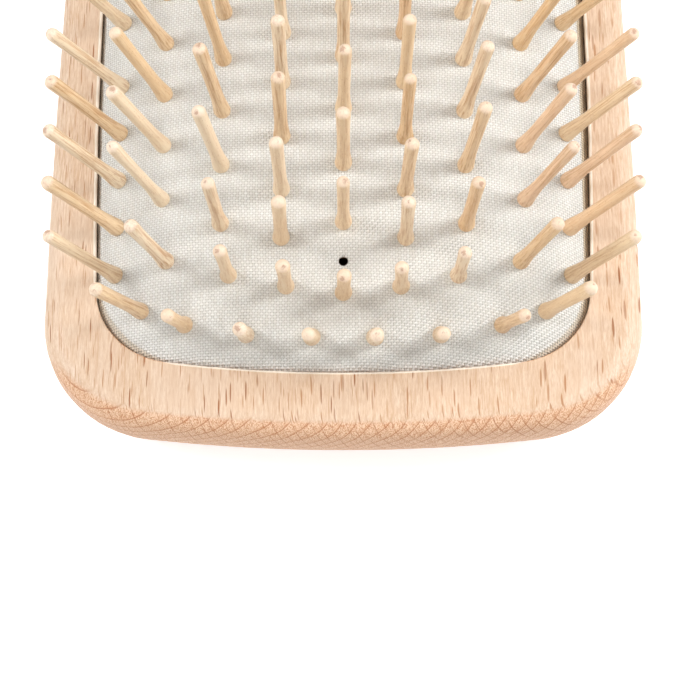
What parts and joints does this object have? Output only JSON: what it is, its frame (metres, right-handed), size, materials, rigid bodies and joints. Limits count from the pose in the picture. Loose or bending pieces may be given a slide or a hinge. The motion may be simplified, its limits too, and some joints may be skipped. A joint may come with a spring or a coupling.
{
  "type": "paddle brush",
  "caption": "Wooden paddle hair brush with a one-piece head and handle, a canvas-covered air cushion and rounded turned wooden pins.",
  "frame": {"origin": "centre of the overall outline in plan, on the flat back of the brush", "axes": "+Z the way the pins point, +Y from the free end of the head to the handle, +X to the right seen from the pins' side"},
  "size_m": [0.0802, 0.24, 0.0372],
  "materials": {
    "beech_body": "fine-sanded beech with a thin oil finish, satin",
    "rubber_pad": "natural rubber, matt",
    "canvas": "unbleached plain-weave cotton canvas, matt",
    "adhesive": "set contact adhesive, matt",
    "pin_wood": "turned and tumbled light hardwood, satin"
  },
  "bodies": {
    "head": {"wooden_body": "beech_body", "cushion_adhesive": "adhesive"},
    "cushion": {"rubber_cushion": "rubber_pad", "fabric_cover": "canvas"},
    "row_01": {"pin_row_01": "pin_wood"},
    "row_02": {"pin_row_02": "pin_wood"},
    "row_03": {"pin_row_03": "pin_wood"},
    "row_04": {"pin_row_04": "pin_wood"},
    "row_05": {"pin_row_05": "pin_wood"},
    "row_06": {"pin_row_06": "pin_wood"},
    "row_07": {"pin_row_07": "pin_wood"},
    "row_08": {"pin_row_08": "pin_wood"},
    "row_09": {"pin_row_09": "pin_wood"},
    "row_10": {"pin_row_10": "pin_wood"},
    "row_11": {"pin_row_11": "pin_wood"},
    "row_12": {"pin_row_12": "pin_wood"},
    "row_13": {"pin_row_13": "pin_wood"},
    "row_14": {"pin_row_14": "pin_wood"},
    "row_15": {"pin_row_15": "pin_wood"},
    "row_16": {"pin_row_16": "pin_wood"},
    "row_17": {"pin_row_17": "pin_wood"},
    "row_18": {"pin_row_18": "pin_wood"},
    "row_19": {"pin_row_19": "pin_wood"}
  },
  "joints": [
    {"name": "cushion_press", "type": "slide", "parent": "head", "child": "cushion", "axis": [0, 0, 1], "range_m": [-0.003, 0], "stiffness_N_per_m": 3000, "deforming": ["rubber_cushion", "fabric_cover"]},
    {"name": "row_01_rock", "type": "hinge", "parent": "cushion", "child": "row_01", "pos_m": [0, -0.10515, 0.01303], "axis": [1, 0, 0], "range_deg": [-8, 8], "stiffness_Nm_per_rad": 0.01},
    {"name": "row_02_rock", "type": "hinge", "parent": "cushion", "child": "row_02", "pos_m": [0, -0.0985, 0.01467], "axis": [1, 0, 0], "range_deg": [-8, 8], "stiffness_Nm_per_rad": 0.01},
    {"name": "row_03_rock", "type": "hinge", "parent": "cushion", "child": "row_03", "pos_m": [0, -0.09192, 0.01587], "axis": [1, 0, 0], "range_deg": [-8, 8], "stiffness_Nm_per_rad": 0.01},
    {"name": "row_04_rock", "type": "hinge", "parent": "cushion", "child": "row_04", "pos_m": [0, -0.08731, 0.01692], "axis": [1, 0, 0], "range_deg": [-8, 8], "stiffness_Nm_per_rad": 0.01},
    {"name": "row_05_rock", "type": "hinge", "parent": "cushion", "child": "row_05", "pos_m": [0, -0.08321, 0.01603], "axis": [1, 0, 0], "range_deg": [-8, 8], "stiffness_Nm_per_rad": 0.01},
    {"name": "row_06_rock", "type": "hinge", "parent": "cushion", "child": "row_06", "pos_m": [0, -0.07927, 0.0173], "axis": [1, 0, 0], "range_deg": [-8, 8], "stiffness_Nm_per_rad": 0.01},
    {"name": "row_07_rock", "type": "hinge", "parent": "cushion", "child": "row_07", "pos_m": [0, -0.07526, 0.01618], "axis": [1, 0, 0], "range_deg": [-8, 8], "stiffness_Nm_per_rad": 0.01},
    {"name": "row_08_rock", "type": "hinge", "parent": "cushion", "child": "row_08", "pos_m": [0, -0.07106, 0.01739], "axis": [1, 0, 0], "range_deg": [-8, 8], "stiffness_Nm_per_rad": 0.01},
    {"name": "row_09_rock", "type": "hinge", "parent": "cushion", "child": "row_09", "pos_m": [0, -0.06737, 0.0162], "axis": [1, 0, 0], "range_deg": [-8, 8], "stiffness_Nm_per_rad": 0.01},
    {"name": "row_10_rock", "type": "hinge", "parent": "cushion", "child": "row_10", "pos_m": [0, -0.06305, 0.01739], "axis": [1, 0, 0], "range_deg": [-8, 8], "stiffness_Nm_per_rad": 0.01},
    {"name": "row_11_rock", "type": "hinge", "parent": "cushion", "child": "row_11", "pos_m": [0, -0.05873, 0.0162], "axis": [1, 0, 0], "range_deg": [-8, 8], "stiffness_Nm_per_rad": 0.01},
    {"name": "row_12_rock", "type": "hinge", "parent": "cushion", "child": "row_12", "pos_m": [0, -0.05504, 0.01739], "axis": [1, 0, 0], "range_deg": [-8, 8], "stiffness_Nm_per_rad": 0.01},
    {"name": "row_13_rock", "type": "hinge", "parent": "cushion", "child": "row_13", "pos_m": [0, -0.05084, 0.01618], "axis": [1, 0, 0], "range_deg": [-8, 8], "stiffness_Nm_per_rad": 0.01},
    {"name": "row_14_rock", "type": "hinge", "parent": "cushion", "child": "row_14", "pos_m": [0, -0.04683, 0.0173], "axis": [1, 0, 0], "range_deg": [-8, 8], "stiffness_Nm_per_rad": 0.01},
    {"name": "row_15_rock", "type": "hinge", "parent": "cushion", "child": "row_15", "pos_m": [0, -0.04289, 0.01603], "axis": [1, 0, 0], "range_deg": [-8, 8], "stiffness_Nm_per_rad": 0.01},
    {"name": "row_16_rock", "type": "hinge", "parent": "cushion", "child": "row_16", "pos_m": [0, -0.03879, 0.01692], "axis": [1, 0, 0], "range_deg": [-8, 8], "stiffness_Nm_per_rad": 0.01},
    {"name": "row_17_rock", "type": "hinge", "parent": "cushion", "child": "row_17", "pos_m": [0, -0.03418, 0.01587], "axis": [1, 0, 0], "range_deg": [-8, 8], "stiffness_Nm_per_rad": 0.01},
    {"name": "row_18_rock", "type": "hinge", "parent": "cushion", "child": "row_18", "pos_m": [0, -0.0276, 0.01467], "axis": [1, 0, 0], "range_deg": [-8, 8], "stiffness_Nm_per_rad": 0.01},
    {"name": "row_19_rock", "type": "hinge", "parent": "cushion", "child": "row_19", "pos_m": [0, -0.02095, 0.01303], "axis": [1, 0, 0], "range_deg": [-8, 8], "stiffness_Nm_per_rad": 0.01}
  ]
}
